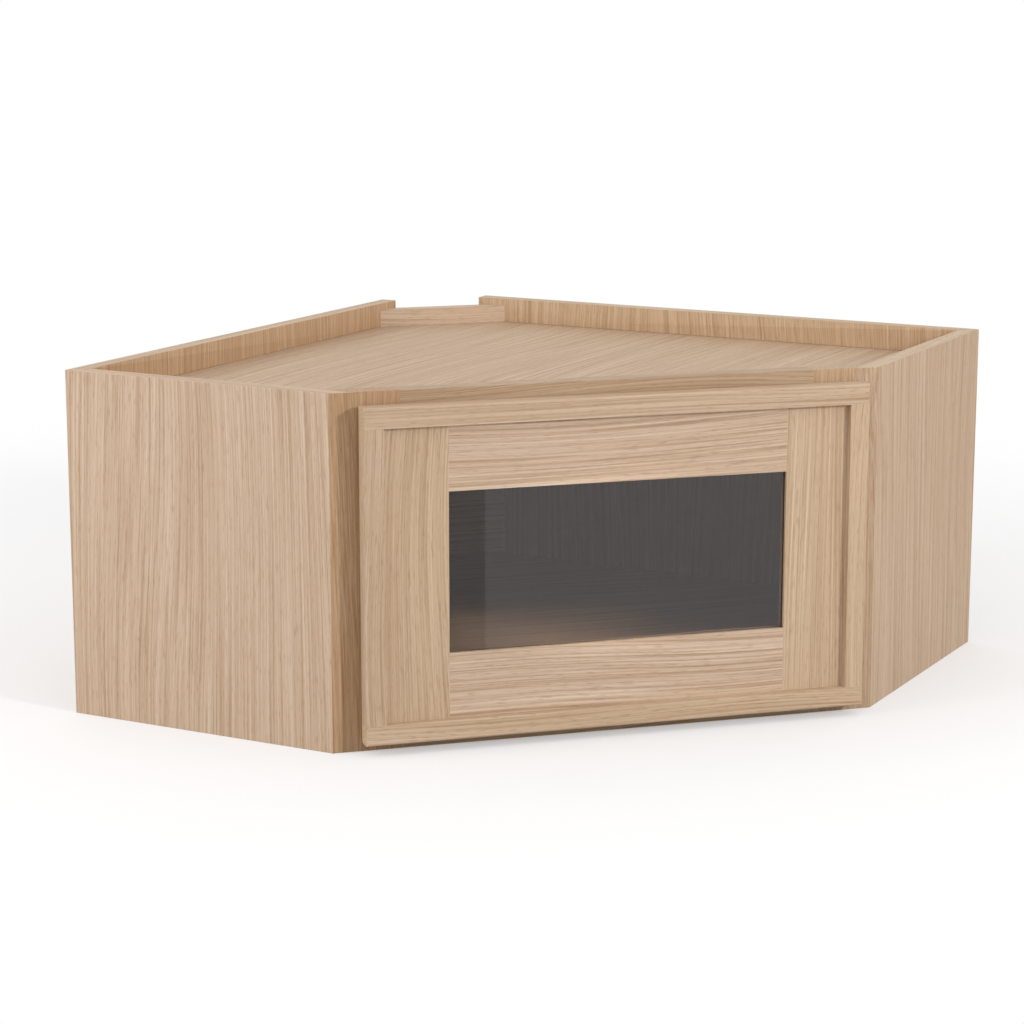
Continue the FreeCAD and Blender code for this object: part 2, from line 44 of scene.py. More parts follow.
# Side and back panels: 16 mm plywood faced with white oak veneer, its grain upright.
# They are sawn square, dadoed and glued together, and the cut edges are banded with the same
# veneer, whose grain runs along each edge.


def linear_colour(text):
    channels = [int(text[i : i + 2], 16) / 255 for i in (1, 3, 5)]
    return [c / 12.92 if c <= 0.04045 else ((c + 0.055) / 1.055) ** 2.4 for c in channels] + [1.0]


def add_node(tree, kind, inputs=None, **settings):
    node = tree.nodes.new(kind)
    for name, setting in settings.items():
        setattr(node, name, setting)
    for name, source in (inputs or {}).items():
        if isinstance(source, bpy.types.NodeSocket):
            tree.links.new(source, node.inputs[name])
        else:
            node.inputs[name].default_value = source
    return node


# Boards, each with the colours of its dark, middle and light lines and of its slow bands.
PALE_OAK = ("#a38465", "#c4aa91", "#d9c2ab", "#bc9c80")
STRAW_OAK = ("#a18060", "#c2a78b", "#d7bfa5", "#ba997a")
# A darker board for the right side: painted shade, which keeps the side that the key lamp lights most as
# dim as the door.
SHADE_DARKENED_SIDE_OAK = ("#9a7b5b", "#b69b80", "#ccb49c", "#b0906f")
# A browner board: the right stile's own tone, and painted shade on the inner face of the right back.
HAZEL_AND_SHADE_OAK = ("#987652", "#b79978", "#cdb397", "#b08f6e")
# A browner board painted as shade: on the left stile and the left side's front edge in the door's shadow,
# on the left back's inner face, and on the cabinet's inside floor.
PAINTED_SHADE_OAK = ("#94704c", "#b2906e", "#c8aa8b", "#ab8766")
PORE_BROWN = "#8e6a4a"

# Figure of the wood: how wide each mark is, how long it runs with the grain, and its finer detail.
# Growth lines lie 1.5 mm apart, in bundles 8 mm and bands 50 mm wide. Pores are 0.9 mm wide and
# 13 mm long, three times as wide as real so that they show.
GROWTH_LINES = (0.0015, 0.34, 5.0)
LINE_BUNDLES = (0.008, 0.6, 1.0)
SLOW_BANDS = (0.05, 0.6, 1.0)
OPEN_PORES = (0.0009, 0.013, 1.0)
MARK_ROUGHNESS = 0.62

# Lines lean and bend within the face, by about 10 mm over 400 mm.
SWAY_REACH = (0.13, 0.13, 0.40)
SWAY_SIZE = (0.045, 0.006, 0.0)

# How strongly lines, bundles, bands and pores show, and where a board's three colours lie in the tone.
LINE_SHARE = 0.93
BUNDLE_SHARE = 0.07
DARK_STOP = 0.28
MIDDLE_STOP = 0.48
LIGHT_STOP = 0.70
BAND_START = 0.35
BAND_FULL = 0.7
BAND_SHARE = 0.18
PORE_START = 0.56
PORE_FULL = 0.70
PORE_SHARE = 0.32

# The lacquer is duller over the dark lines, and pores and soft early wood lie about 0.05 mm below it.
DULL_LINE = 0.3
BRIGHT_LINE = 0.7
DULL_LACQUER = 0.58
BRIGHT_LACQUER = 0.48
RELIEF_DEPTH = 0.0001
RELIEF_STRENGTH = 0.25
LACQUER_IOR = 1.45
LACQUER_SPECULAR = 0.3

# A face that points up or down more than this is a banded edge, and one that points to the front
# more than this is a front edge.
EDGE_FACING = 0.7
FRONT_FACING = -0.9


def grained_wood(name, grain_turn, start, board=PALE_OAK, edge_turn=None, shaded_front_board=None):
    # White oak, rift cut and finished with a clear matt lacquer: pale straw ground, fine darker
    # lines along the grain, slow bands of warmer and cooler wood, and short open pores.
    material = bpy.data.materials.new(name)
    material.use_nodes = True
    tree = material.node_tree
    shader = tree.nodes["Principled BSDF"]
    coords = add_node(tree, "ShaderNodeTexCoord")
    facing = add_node(tree, "ShaderNodeSeparateXYZ", {0: coords.outputs["Normal"]})
    grain = add_node(
        tree, "ShaderNodeMapping",
        {"Vector": coords.outputs["Object"], "Rotation": grain_turn, "Location": start},
        vector_type="TEXTURE",
    ).outputs[0]
    if edge_turn is not None:
        edge_grain = add_node(
            tree, "ShaderNodeMapping",
            {"Vector": coords.outputs["Object"], "Rotation": edge_turn, "Location": start},
            vector_type="TEXTURE",
        )
        level = add_node(tree, "ShaderNodeMath", {0: facing.outputs["Z"]}, operation="ABSOLUTE")
        on_edge = add_node(
            tree, "ShaderNodeMath", {0: level.outputs[0], 1: EDGE_FACING}, operation="GREATER_THAN"
        )
        grain = add_node(
            tree, "ShaderNodeMix",
            {"Factor": on_edge.outputs[0], 4: grain, 5: edge_grain.outputs[0]}, data_type="VECTOR",
        ).outputs[1]
    sway_place = add_node(
        tree, "ShaderNodeMapping", {"Vector": grain, "Scale": SWAY_REACH}, vector_type="TEXTURE"
    )
    sway = add_node(
        tree, "ShaderNodeTexNoise", {"Vector": sway_place.outputs[0], "Scale": 1.0, "Detail": 0.0}
    )
    sway_size = add_node(
        tree, "ShaderNodeVectorMath", {0: sway.outputs["Fac"], 1: SWAY_SIZE}, operation="MULTIPLY"
    )
    flow = add_node(
        tree, "ShaderNodeVectorMath", {0: grain, 1: sway_size.outputs[0]}, operation="ADD"
    )
    marks = []
    for width, length, detail in (GROWTH_LINES, LINE_BUNDLES, SLOW_BANDS, OPEN_PORES):
        place = add_node(
            tree, "ShaderNodeMapping",
            {"Vector": flow.outputs[0], "Scale": (width, width, length)}, vector_type="TEXTURE",
        )
        mark = add_node(
            tree, "ShaderNodeTexNoise",
            {"Vector": place.outputs[0], "Scale": 1.0, "Detail": detail, "Roughness": MARK_ROUGHNESS},
        )
        marks.append(mark.outputs["Fac"])
    lines, bundles, bands, pores = marks
    line_tone = add_node(tree, "ShaderNodeMath", {0: lines, 1: LINE_SHARE}, operation="MULTIPLY")
    tone = add_node(
        tree, "ShaderNodeMath", {0: bundles, 1: BUNDLE_SHARE, 2: line_tone.outputs[0]},
        operation="MULTIPLY_ADD",
    )
    warmth = add_node(
        tree, "ShaderNodeMapRange",
        {"Value": bands, "From Min": BAND_START, "From Max": BAND_FULL, "To Max": BAND_SHARE},
    )

    def board_colour(dark, middle, light, band):
        ramp = add_node(tree, "ShaderNodeValToRGB", {"Fac": tone.outputs[0]})
        stops = ramp.color_ramp.elements
        stops[0].position = DARK_STOP
        stops[0].color = linear_colour(dark)
        stops[1].position = LIGHT_STOP
        stops[1].color = linear_colour(light)
        stops.new(MIDDLE_STOP).color = linear_colour(middle)
        return add_node(
            tree, "ShaderNodeMix",
            {"Factor": warmth.outputs[0], 6: ramp.outputs["Color"], 7: linear_colour(band)},
            data_type="RGBA",
        ).outputs[2]

    surface = board_colour(*board)
    if edge_turn is not None:
        surface = add_node(
            tree, "ShaderNodeMix",
            {"Factor": on_edge.outputs[0], 6: surface, 7: board_colour(*STRAW_OAK)}, data_type="RGBA",
        ).outputs[2]
    # A front edge can take its own board, used here for painted shade beside the door.
    if shaded_front_board is not None:
        on_shaded_front = add_node(
            tree, "ShaderNodeMath", {0: facing.outputs["Y"], 1: FRONT_FACING}, operation="LESS_THAN"
        )
        surface = add_node(
            tree, "ShaderNodeMix",
            {"Factor": on_shaded_front.outputs[0], 6: surface, 7: board_colour(*shaded_front_board)}, data_type="RGBA",
        ).outputs[2]
    pore_depth = add_node(
        tree, "ShaderNodeMapRange",
        {"Value": pores, "From Min": PORE_START, "From Max": PORE_FULL, "To Max": PORE_SHARE},
    )
    colour = add_node(
        tree, "ShaderNodeMix",
        {"Factor": pore_depth.outputs[0], 6: surface, 7: linear_colour(PORE_BROWN)}, data_type="RGBA",
    )
    sheen = add_node(
        tree, "ShaderNodeMapRange",
        {
            "Value": lines, "From Min": DULL_LINE, "From Max": BRIGHT_LINE,
            "To Min": DULL_LACQUER, "To Max": BRIGHT_LACQUER,
        },
    )
    relief = add_node(
        tree, "ShaderNodeMath", {0: lines, 1: pore_depth.outputs[0]}, operation="SUBTRACT"
    )
    bump = add_node(
        tree, "ShaderNodeBump",
        {"Height": relief.outputs[0], "Strength": RELIEF_STRENGTH, "Distance": RELIEF_DEPTH},
    )
    tree.links.new(colour.outputs[2], shader.inputs["Base Color"])
    tree.links.new(sheen.outputs[0], shader.inputs["Roughness"])
    tree.links.new(bump.outputs[0], shader.inputs["Normal"])
    shader.inputs["IOR"].default_value = LACQUER_IOR
    shader.inputs["Specular IOR Level"].default_value = LACQUER_SPECULAR
    return material


def dress(piece, material):
    nodes[piece].data.materials.clear()
    nodes[piece].data.materials.append(material)


SANDED_EDGE = 0.0005
EDGE_SEGMENTS = 2
WELD_DISTANCE = 0.00001
SHARP_ANGLE = math.radians(35)


def ease_edges(piece, width=SANDED_EDGE, segments=EDGE_SEGMENTS):
    # Sanding, pressing or punching takes the sharpness off every cut edge.
    weld = nodes[piece].modifiers.new("weld", "WELD")
    weld.merge_threshold = WELD_DISTANCE
    bevel = nodes[piece].modifiers.new("eased_edge", "BEVEL")
    bevel.width = width
    bevel.segments = segments
    bevel.limit_method = "ANGLE"
    bevel.angle_limit = SHARP_ANGLE


# Ways that the grain can run. Its z lies along the lines, and its x across the face that shows.
QUARTER_TURN = math.radians(90)
LEFT_WALL_TURN = math.radians(45)
RIGHT_WALL_TURN = math.radians(-45)
UPRIGHT_LEFT_WALL = (0.0, 0.0, LEFT_WALL_TURN)
UPRIGHT_RIGHT_WALL = (0.0, 0.0, RIGHT_WALL_TURN)
FLAT_ALONG_LEFT_WALL = (QUARTER_TURN, 0.0, QUARTER_TURN + LEFT_WALL_TURN)
FLAT_ALONG_RIGHT_WALL = (QUARTER_TURN, 0.0, QUARTER_TURN + RIGHT_WALL_TURN)

# Each panel: its grain, where its figure starts so that no two look alike, its board, the grain of its
# banded edges, and the board of its front edge where that differs. The backs and the right side take
# darker, browner boards as painted shade, and the left side's front edge beside the door takes a browner
# board as painted shade.
for panel, grain_turn, start, board, edge_turn, shaded_front_board in (
    ("left_side", UPRIGHT_RIGHT_WALL, (0.11, 0.37, 0.2), PALE_OAK, FLAT_ALONG_RIGHT_WALL, PAINTED_SHADE_OAK),
    ("right_side", UPRIGHT_LEFT_WALL, (0.71, 0.13, 0.5), SHADE_DARKENED_SIDE_OAK, FLAT_ALONG_LEFT_WALL, None),
    ("left_back", UPRIGHT_LEFT_WALL, (0.29, 0.83, 0.9), PAINTED_SHADE_OAK, FLAT_ALONG_LEFT_WALL, None),
    ("right_back", UPRIGHT_RIGHT_WALL, (0.57, 0.41, 1.3), HAZEL_AND_SHADE_OAK, FLAT_ALONG_RIGHT_WALL, None),
):
    dress(panel, grained_wood("oak_" + panel, grain_turn, start, board, edge_turn, shaded_front_board))
    ease_edges(panel)

# Corner strip, top deck and bottom panel: the same veneered plywood, let into the sides and backs.
# The strip closes the corner at 45 degrees. Its grain and the bottom panel's run along the front,
# and the top deck is cut with the grain along the left wall.
WHEAT_OAK = ("#9d7d5d", "#bca186", "#d1b9a0", "#b59475")
ALONG_FRONT = (0.0, QUARTER_TURN, 0.0)
FLAT_ALONG_FRONT = (QUARTER_TURN, 0.0, QUARTER_TURN)
dress("corner_back", grained_wood("oak_corner_strip", ALONG_FRONT, (0.47, 0.19, 1.7)))
dress("top_deck", grained_wood("oak_top_deck", FLAT_ALONG_LEFT_WALL, (0.83, 0.59, 0.4), WHEAT_OAK))
# The bottom panel's browner board is painted shade for the inside of the cabinet.
dress("bottom_panel", grained_wood("oak_bottom_panel", FLAT_ALONG_FRONT, (0.23, 0.97, 2.1), PAINTED_SHADE_OAK))

# Face frame: stiles and rails of solid white oak, from browner boards than the veneer. The left stile's
# board is browner still, as painted shade beside the door, and the right stile's board is partly painted
# shade.
# The rails are glued between the stiles on beech dowels, and the joints are sanded flush.
UMBER_OAK = ("#927252", "#af9376", "#c5ac93", "#a88a6c")
BEECH = ("#a8825f", "#c6a27c", "#d8b994", "#bd9871")
UPRIGHT = (0.0, 0.0, 0.0)
for frame_piece, grain_turn, start, board in (
    ("left_stile", UPRIGHT, (0.35, 0.67, 2.6), PAINTED_SHADE_OAK),
    ("right_stile", UPRIGHT, (0.91, 0.31, 3.1), HAZEL_AND_SHADE_OAK),
    ("top_rail", ALONG_FRONT, (0.17, 0.53, 3.4), UMBER_OAK),
    ("bottom_rail", ALONG_FRONT, (0.61, 0.73, 3.9), UMBER_OAK),
):
    dress(frame_piece, grained_wood("oak_" + frame_piece, grain_turn, start, board))
    ease_edges(frame_piece)
dress("frame_dowels", grained_wood("beech_dowels", ALONG_FRONT, (0.43, 0.89, 4.2), BEECH))

# Door border: four solid oak strips, rounded at their outer edges, that stand proud of the flat frame.
# They are grooved for the frame's tongues and glued round it. The top and bottom strips run the full
# width, and the side strips stand between them.
for side, grain_turn, start, board in (
    ("top", ALONG_FRONT, (0.79, 0.27, 4.7), WHEAT_OAK),
    ("bottom", ALONG_FRONT, (0.33, 0.61, 5.2), STRAW_OAK),
    ("left", UPRIGHT, (0.59, 0.11, 5.6), WHEAT_OAK),
    ("right", UPRIGHT, (0.19, 0.79, 6.1), STRAW_OAK),
):
    dress("door_border_" + side, grained_wood("oak_border_" + side, grain_turn, start, board))

# Flat frame inside the border: oak stiles with rails tongued between them, planed flush.
# Its outer tongues are glued into the border, and it is rabbeted behind for the glass. The rails
# come from a board with stronger lines.
LINED_OAK = ("#977756", "#c4aa91", "#e0cab4", "#bc9c80")
for door_piece, grain_turn, start, board in (
    ("door_stile_left", UPRIGHT, (0.67, 0.47, 6.5), STRAW_OAK),
    ("door_stile_right", UPRIGHT, (0.41, 0.17, 7.2), STRAW_OAK),
    ("door_rail_top", ALONG_FRONT, (0.87, 0.71, 7.7), LINED_OAK),
    ("door_rail_bottom", ALONG_FRONT, (0.27, 0.39, 8.1), LINED_OAK),
):
    dress(door_piece, grained_wood("oak_" + door_piece, grain_turn, start, board))

# Glass light: a pane of 4 mm float glass, cut to lie in the frame's rabbet.
# Float glass is smooth. Its grey here is much darker than real float glass and paints the inside of the
# cabinet dark as shade. It mirrors the white room in front as a pale veil, while the room's light still
# reaches the inside.
GLASS_SHADE_GREY = "#c2bebb"
GLASS_PASSES = "#f0ece9"
GLASS_IOR = 1.56
glass = bpy.data.materials.new("clear_float_glass")
glass.use_nodes = True
glass_tree = glass.node_tree
glass_shader = glass_tree.nodes["Principled BSDF"]
glass_shader.inputs["Base Color"].default_value = linear_colour(GLASS_SHADE_GREY)
glass_shader.inputs["Transmission Weight"].default_value = 1.0
glass_shader.inputs["Roughness"].default_value = 0.0
glass_shader.inputs["IOR"].default_value = GLASS_IOR
glass_path = add_node(glass_tree, "ShaderNodeLightPath")
glass_pass = add_node(glass_tree, "ShaderNodeBsdfTransparent", {"Color": linear_colour(GLASS_PASSES)})
glass_mix = add_node(
    glass_tree, "ShaderNodeMixShader",
    {0: glass_path.outputs["Is Shadow Ray"], 1: glass_shader.outputs[0], 2: glass_pass.outputs[0]},
)
glass_tree.links.new(glass_mix.outputs[0], glass_tree.nodes["Material Output"].inputs["Surface"])
dress("door_glass", glass)

# Glazing beads: thin oak strips, cut to fit between the glass and the back of the frame.
# They are pinned into the rabbet and hold the pane from behind.
for side, grain_turn, start in (
    ("top", ALONG_FRONT, (0.51, 0.23, 8.6)),
    ("bottom", ALONG_FRONT, (0.73, 0.57, 9.1)),
    ("left", UPRIGHT, (0.31, 0.77, 9.4)),
    ("right", UPRIGHT, (0.93, 0.43, 9.9)),
):
    dress("glass_bead_" + side, grained_wood("oak_bead_" + side, grain_turn, start))

# Hinges: cups and arms pressed from steel sheet, with turned pins, all nickel plated.
# Each cup sits in a bore in the door, and each arm wraps onto the left stile's inner edge.
# Plating over rolled sheet gives a soft grey shine with faint drawing marks 0.6 mm apart.
NICKEL_DARK = "#b3b1ac"
NICKEL_LIGHT = "#cfcdc8"
DRAWING_MARK = (0.006, 0.006, 0.0006)
MARK_DETAIL = 2.0
MARK_LOW = 0.3
MARK_HIGH = 0.7
SMOOTH_PLATE = 0.28
ROUGH_PLATE = 0.4
PRESSED_EDGE = 0.0002
nickel = bpy.data.materials.new("nickel_plated_steel")
nickel.use_nodes = True
nickel_tree = nickel.node_tree
nickel_shader = nickel_tree.nodes["Principled BSDF"]
nickel_coords = add_node(nickel_tree, "ShaderNodeTexCoord")
nickel_place = add_node(
    nickel_tree, "ShaderNodeMapping",
    {"Vector": nickel_coords.outputs["Object"], "Scale": DRAWING_MARK}, vector_type="TEXTURE",
)
nickel_marks = add_node(
    nickel_tree, "ShaderNodeTexNoise",
    {"Vector": nickel_place.outputs[0], "Scale": 1.0, "Detail": MARK_DETAIL},
)
nickel_tone = add_node(nickel_tree, "ShaderNodeValToRGB", {"Fac": nickel_marks.outputs["Fac"]})
nickel_tone.color_ramp.elements[0].position = MARK_LOW
nickel_tone.color_ramp.elements[0].color = linear_colour(NICKEL_DARK)
nickel_tone.color_ramp.elements[1].position = MARK_HIGH
nickel_tone.color_ramp.elements[1].color = linear_colour(NICKEL_LIGHT)
nickel_polish = add_node(
    nickel_tree, "ShaderNodeMapRange",
    {
        "Value": nickel_marks.outputs["Fac"], "From Min": MARK_LOW, "From Max": MARK_HIGH,
        "To Min": SMOOTH_PLATE, "To Max": ROUGH_PLATE,
    },
)
nickel_tree.links.new(nickel_tone.outputs["Color"], nickel_shader.inputs["Base Color"])
nickel_tree.links.new(nickel_polish.outputs[0], nickel_shader.inputs["Roughness"])
nickel_shader.inputs["Metallic"].default_value = 1.0
for hinge in ("upper_hinge", "lower_hinge"):
    for hinge_piece in ("_cup", "_arm", "_pin"):
        dress(hinge + hinge_piece, nickel)
    ease_edges(hinge + "_cup", PRESSED_EDGE)

# Hinge screws: countersunk wood screws of the same plated steel, two in each cup and each arm.
# A screw is turned with a flat head, a plain shank and a short point, and a cross recess for the
# driver is pressed into its head. They stop where the driver left them, each turned its own way.
SCREW_SIDES = 32
SCREW_HEAD_RADIUS = 0.0031
SCREW_SHANK_RADIUS = 0.0016
SCREW_POINT = 0.003
SCREW_TIP_SHARE = 0.15
SCREW_SMOOTH_ANGLE = math.radians(30)
SCREW_STOPS = (12, 37, 64, 25)
RECESS_ARM = 0.0033
RECESS_WIDTH = 0.0008
RECESS_DEPTH = 0.0007
CUP_SCREW_HEAD = 0.0012
CUP_SCREW_LENGTH = 0.0105
CUP_SCREW_SPREAD = 0.045
ARM_SCREW_HEAD = 0.0016
ARM_SCREW_LENGTH = 0.016
ARM_SCREW_SPREAD = 0.030
TO_BACK = Vector((0.0, 1.0, 0.0))
TO_RIGHT = Vector((1.0, 0.0, 0.0))


def turn_screw(head_depth, length):
    bpy.ops.mesh.primitive_circle_add(vertices=SCREW_SIDES, radius=SCREW_HEAD_RADIUS, fill_type="NGON")
    screw = bpy.context.object
    bpy.ops.object.mode_set(mode="EDIT")
    bpy.ops.mesh.select_all(action="SELECT")
    head_share = SCREW_SHANK_RADIUS / SCREW_HEAD_RADIUS
    straight = length - head_depth - SCREW_POINT
    for drop, narrowing in ((head_depth, head_share), (straight, 1.0), (SCREW_POINT, SCREW_TIP_SHARE)):
        bpy.ops.mesh.extrude_region_move(TRANSFORM_OT_translate={"value": (0.0, 0.0, -drop)})
        bpy.ops.transform.resize(value=(narrowing, narrowing, 1.0), center_override=(0.0, 0.0, 0.0))
    bpy.ops.mesh.select_all(action="SELECT")
    bpy.ops.mesh.normals_make_consistent(inside=False)
    bpy.ops.object.mode_set(mode="OBJECT")
    for across, along in ((RECESS_ARM, RECESS_WIDTH), (RECESS_WIDTH, RECESS_ARM)):
        bpy.ops.mesh.primitive_cube_add(size=1.0, scale=(across, along, 2 * RECESS_DEPTH))
        punch = bpy.context.object
        recess = screw.modifiers.new("recess", "BOOLEAN")
        recess.operation = "DIFFERENCE"
        recess.solver = "EXACT"
        recess.object = punch
        bpy.context.view_layer.objects.active = screw
        bpy.ops.object.modifier_apply(modifier="recess")
        bpy.data.objects.remove(punch)
    bpy.ops.object.select_all(action="DESELECT")
    screw.select_set(True)
    bpy.ops.object.shade_smooth_by_angle(angle=SCREW_SMOOTH_ANGLE)
    screw.data.materials.append(nickel)
    return screw


def drive_screws(screw, node, name, body, facing, spread):
    dress(node, nickel)
    low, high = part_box(node)
    head = Vector((high[i] if facing[i] > 0.5 else (low[i] + high[i]) / 2 for i in range(3)))
    lean = Vector((0.0, 0.0, 1.0)).rotation_difference(facing).to_matrix().to_4x4()
    bottom = low.z + SCREW_HEAD_RADIUS
    top = high.z - SCREW_HEAD_RADIUS
    copies = []
    for level, stop in zip((bottom, bottom + spread, top - spread, top), SCREW_STOPS):
        bpy.ops.object.select_all(action="DESELECT")
        screw.select_set(True)
        bpy.context.view_layer.objects.active = screw
        bpy.ops.object.duplicate()
        copy = bpy.context.object
        driven = Matrix.Rotation(math.radians(stop), 4, "Z")
        copy.matrix_world = Matrix.Translation((head.x, head.y, level)) @ lean @ driven
        copies.append(copy)
    bpy.data.objects.remove(screw)
    for copy in copies:
        copy.select_set(True)
    bpy.context.view_layer.objects.active = copies[0]
    bpy.ops.object.join()
    bpy.ops.object.transform_apply(location=True, rotation=True, scale=True)
    copies[0].name = name
    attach(copies[0], body)
    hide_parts(node)


cup_screw = turn_screw(CUP_SCREW_HEAD, CUP_SCREW_LENGTH)
drive_screws(cup_screw, "hinge_cup_screws", "cross_head_cup_screws", "door", TO_BACK, CUP_SCREW_SPREAD)
arm_screw = turn_screw(ARM_SCREW_HEAD, ARM_SCREW_LENGTH)
drive_screws(arm_screw, "hinge_arm_screws", "cross_head_arm_screws", "cabinet", TO_RIGHT, ARM_SCREW_SPREAD)
bpy.ops.object.select_all(action="DESELECT")

# Door bumpers: small soft dots of pale grey silicone, punched from sheet, with rounded rims.
# They hold to the back of the door by their own adhesive and keep it off the face frame.
# Silicone looks pale and cloudy, with clouds 2 mm across and a dull shine.
SILICONE_DARK = "#c9c9c5"
SILICONE_LIGHT = "#dcdcd8"
SILICONE_CLOUD = (0.002, 0.002, 0.002)
SILICONE_ROUGHNESS = 0.35
CLOUD_DETAIL = 1.0
BUMPER_RIM = 0.0007
RIM_SEGMENTS = 3
silicone = bpy.data.materials.new("grey_silicone")
silicone.use_nodes = True
silicone_tree = silicone.node_tree
silicone_shader = silicone_tree.nodes["Principled BSDF"]
silicone_coords = add_node(silicone_tree, "ShaderNodeTexCoord")
silicone_place = add_node(
    silicone_tree, "ShaderNodeMapping",
    {"Vector": silicone_coords.outputs["Object"], "Scale": SILICONE_CLOUD}, vector_type="TEXTURE",
)
silicone_cloud = add_node(
    silicone_tree, "ShaderNodeTexNoise",
    {"Vector": silicone_place.outputs[0], "Scale": 1.0, "Detail": CLOUD_DETAIL},
)
silicone_tone = add_node(silicone_tree, "ShaderNodeValToRGB", {"Fac": silicone_cloud.outputs["Fac"]})
silicone_tone.color_ramp.elements[0].color = linear_colour(SILICONE_DARK)
silicone_tone.color_ramp.elements[1].color = linear_colour(SILICONE_LIGHT)
silicone_tree.links.new(silicone_tone.outputs["Color"], silicone_shader.inputs["Base Color"])
silicone_shader.inputs["Roughness"].default_value = SILICONE_ROUGHNESS
dress("door_bumpers", silicone)
ease_edges("door_bumpers", BUMPER_RIM, RIM_SEGMENTS)

# Studio floor: a wide matt white board, laid flat under the cabinet.
# It keeps the cabinet's soft shadow close to it and turns plain white further out. Light that has
# already bounced finds it greyer, so that it throws little light up under the cabinet.
FLOOR_SIZE = 14.0
FLOOR_WHITE = "#f4f3f3"
FLOOR_BOUNCE_GREY = "#b8b6b4"
FLOOR_ROUGHNESS = 0.9
AFTER_A_BOUNCE = 0.5
SHADOW_MIDDLE = (0.0, 0.3, 0.0)
SHADOW_REACH = 0.5
WHITE_REACH = 1.2
SHADOW_WHITE_SHARE = 0.3
bpy.ops.mesh.primitive_plane_add(size=FLOOR_SIZE, location=(0.0, 0.0, 0.0))
floor = bpy.context.object
floor.name = "studio_floor"
floor_paint = bpy.data.materials.new("white_studio_floor")
floor_paint.use_nodes = True
floor_tree = floor_paint.node_tree
floor_shader = floor_tree.nodes["Principled BSDF"]
floor_path = add_node(floor_tree, "ShaderNodeLightPath")
floor_bounce = add_node(
    floor_tree, "ShaderNodeMath",
    {0: floor_path.outputs["Diffuse Depth"], 1: AFTER_A_BOUNCE}, operation="GREATER_THAN",
)
floor_colour = add_node(
    floor_tree, "ShaderNodeMix",
    {"Factor": floor_bounce.outputs[0], 6: linear_colour(FLOOR_WHITE), 7: linear_colour(FLOOR_BOUNCE_GREY)},
    data_type="RGBA",
)
floor_tree.links.new(floor_colour.outputs[2], floor_shader.inputs["Base Color"])
floor_shader.inputs["Roughness"].default_value = FLOOR_ROUGHNESS
floor_shader.inputs["Specular IOR Level"].default_value = 0.0
floor_glow = add_node(floor_tree, "ShaderNodeEmission", {"Color": (1.0, 1.0, 1.0, 1.0), "Strength": 1.0})
floor_coords = add_node(floor_tree, "ShaderNodeTexCoord")
floor_place = add_node(
    floor_tree, "ShaderNodeMapping",
    {"Vector": floor_coords.outputs["Object"], "Location": SHADOW_MIDDLE}, vector_type="TEXTURE",
)
floor_reach = add_node(floor_tree, "ShaderNodeVectorMath", {0: floor_place.outputs[0]}, operation="LENGTH")
floor_fade = add_node(
    floor_tree, "ShaderNodeMapRange",
    {
        "Value": floor_reach.outputs["Value"], "From Min": SHADOW_REACH, "From Max": WHITE_REACH,
        "To Min": SHADOW_WHITE_SHARE, "To Max": 1.0,
    },
    interpolation_type="SMOOTHSTEP",
)
floor_seen = add_node(
    floor_tree, "ShaderNodeMath",
    {0: floor_path.outputs["Is Camera Ray"], 1: floor_path.outputs["Is Transmission Ray"]},
    operation="MAXIMUM",
)
floor_white = add_node(
    floor_tree, "ShaderNodeMath", {0: floor_seen.outputs[0], 1: floor_bounce.outputs[0]},
    operation="SUBTRACT", use_clamp=True,
)
floor_share = add_node(
    floor_tree, "ShaderNodeMath", {0: floor_white.outputs[0], 1: floor_fade.outputs[0]},
    operation="MULTIPLY",
)
floor_mix = add_node(
    floor_tree, "ShaderNodeMixShader",
    {0: floor_share.outputs[0], 1: floor_shader.outputs[0], 2: floor_glow.outputs[0]},
)
floor_tree.links.new(floor_mix.outputs[0], floor_tree.nodes["Material Output"].inputs["Surface"])
floor.data.materials.append(floor_paint)
floor.visible_glossy = False

# Studio walls: white all round, and a little dimmer as light than they look.
# What shines mirrors a white wall that ends at an upright edge in front of the door, with a greyer
# room to the left of that edge.
WALL_LIGHT = 0.86
WALL_WHITE = 1.0
GREYER_ROOM = 0.54
WALL_SIDE = (1.0, 0.2922, 0.0)
world = bpy.data.worlds.new("studio")
bpy.context.scene.world = world
world.use_nodes = True
world_tree = world.node_tree
world_light = world_tree.nodes["Background"]
world_light.inputs["Color"].default_value = (1.0, 1.0, 1.0, 1.0)
world_path = add_node(world_tree, "ShaderNodeLightPath")
world_seen = add_node(
    world_tree, "ShaderNodeMath",
    {0: world_path.outputs["Is Camera Ray"], 1: world_path.outputs["Is Transmission Ray"]},
    operation="MAXIMUM",
)
world_level = add_node(
    world_tree, "ShaderNodeMapRange",
    {"Value": world_seen.outputs[0], "To Min": WALL_LIGHT, "To Max": WALL_WHITE},
)
world_coords = add_node(world_tree, "ShaderNodeTexCoord")
world_side = add_node(
    world_tree, "ShaderNodeVectorMath",
    {0: world_coords.outputs["Generated"], 1: WALL_SIDE}, operation="DOT_PRODUCT",
)
world_wall = add_node(
    world_tree, "ShaderNodeMath", {0: world_side.outputs["Value"], 1: 0.0}, operation="GREATER_THAN"
)
world_shine = add_node(
    world_tree, "ShaderNodeMapRange",
    {"Value": world_wall.outputs[0], "To Min": GREYER_ROOM, "To Max": WALL_WHITE},
)
world_strength = add_node(
    world_tree, "ShaderNodeMix",
    {0: world_path.outputs["Is Glossy Ray"], 2: world_level.outputs[0], 3: world_shine.outputs[0]},
    data_type="FLOAT",
)
world_tree.links.new(world_strength.outputs[0], world_light.inputs["Strength"])

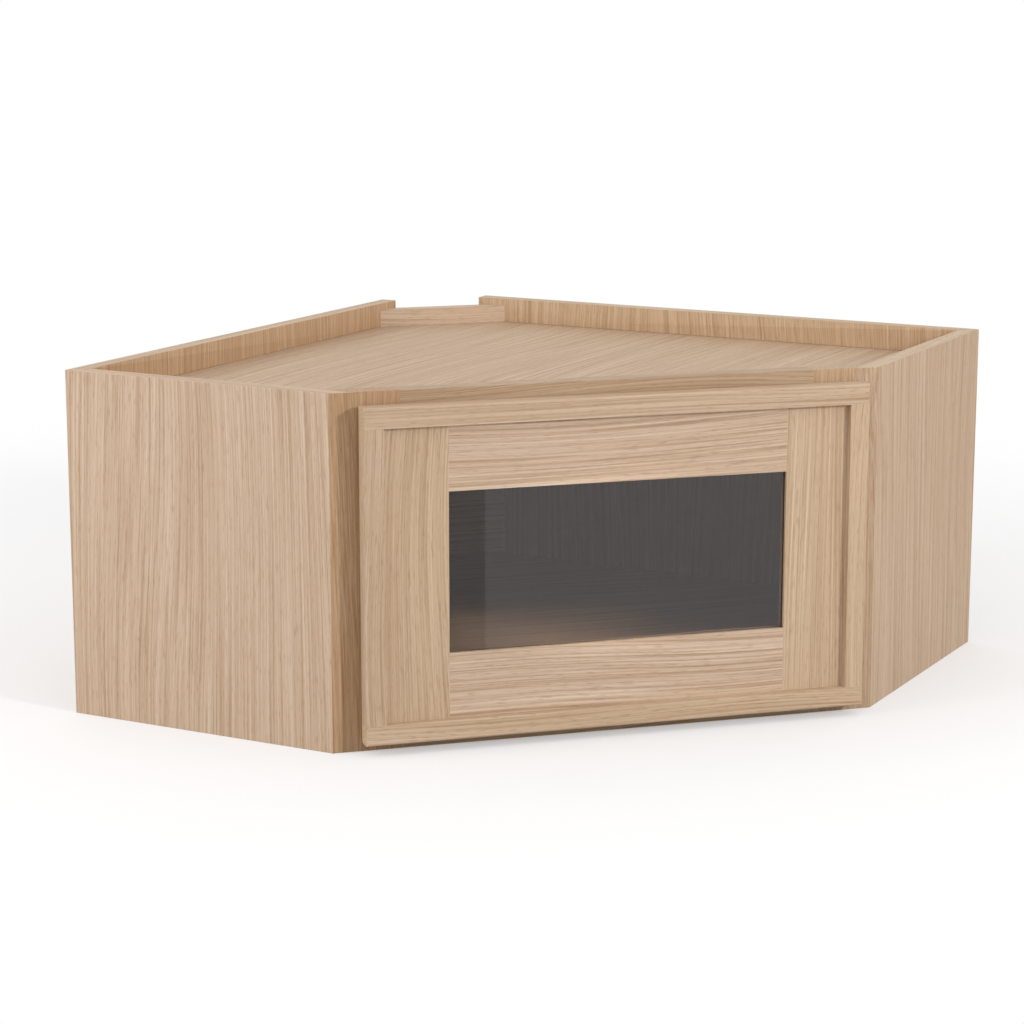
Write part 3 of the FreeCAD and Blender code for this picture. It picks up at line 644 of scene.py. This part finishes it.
# Lamps: a small softbox in front on the right and a large one on the left, aimed at the cabinet.
# A third lamp with a flat narrow beam shines in through the glass and lights the cabinet's floor.
LAMP_AIM = Vector((0.0, -0.1, 0.15))
BEAM_FROM = Vector((0.0, -1.90, 1.10))
BEAM_TO = Vector((0.0, -0.09, 0.038))
BEAM_POWER = 190.0
BEAM_ANGLE = math.radians(7.6)
BEAM_BULB = 0.05
BEAM_FLATNESS = 0.31
for lamp_name, lamp_place, lamp_size, lamp_power in (
    ("key_softbox", (1.42, -2.30, 1.10), 0.3, 27.5),
    ("left_softbox", (-2.6, -0.3, 1.0), 1.6, 29.5),
):
    bpy.ops.object.light_add(type="AREA", location=lamp_place)
    lamp = bpy.context.object
    lamp.name = lamp_name
    lamp.data.shape = "SQUARE"
    lamp.data.size = lamp_size
    lamp.data.energy = lamp_power
    lamp.rotation_euler = (LAMP_AIM - Vector(lamp_place)).to_track_quat("-Z", "Y").to_euler()
bpy.ops.object.light_add(type="SPOT", location=BEAM_FROM)
beam = bpy.context.object
beam.name = "floor_beam"
beam.data.energy = BEAM_POWER
beam.data.spot_size = BEAM_ANGLE
beam.data.spot_blend = 1.0
beam.data.shadow_soft_size = BEAM_BULB
beam.scale = (1.0, BEAM_FLATNESS, 1.0)
beam.rotation_euler = (BEAM_TO - BEAM_FROM).to_track_quat("-Z", "Y").to_euler()

# Camera: a long lens that stands to the left of the door and above the rim, and looks down a little.
# Its turns are in degrees, and its focal length in pixels of a picture 1024 pixels wide.
CAMERA_PLACE = (-0.74457, -2.43995, 0.66953)
CAMERA_LOOKS_DOWN = 11.7807
CAMERA_TURN = -16.858
SENSOR_WIDTH = 36.0
FOCAL_PIXELS = 2766.2
PICTURE_PIXELS = 1024
bpy.ops.object.camera_add(
    location=CAMERA_PLACE,
    rotation=(math.radians(90 - CAMERA_LOOKS_DOWN), 0.0, math.radians(CAMERA_TURN)),
)
camera = bpy.context.object
camera.data.sensor_width = SENSOR_WIDTH
camera.data.lens = SENSOR_WIDTH * FOCAL_PIXELS / PICTURE_PIXELS
bpy.context.scene.camera = camera
bpy.context.scene.view_settings.view_transform = "Standard"
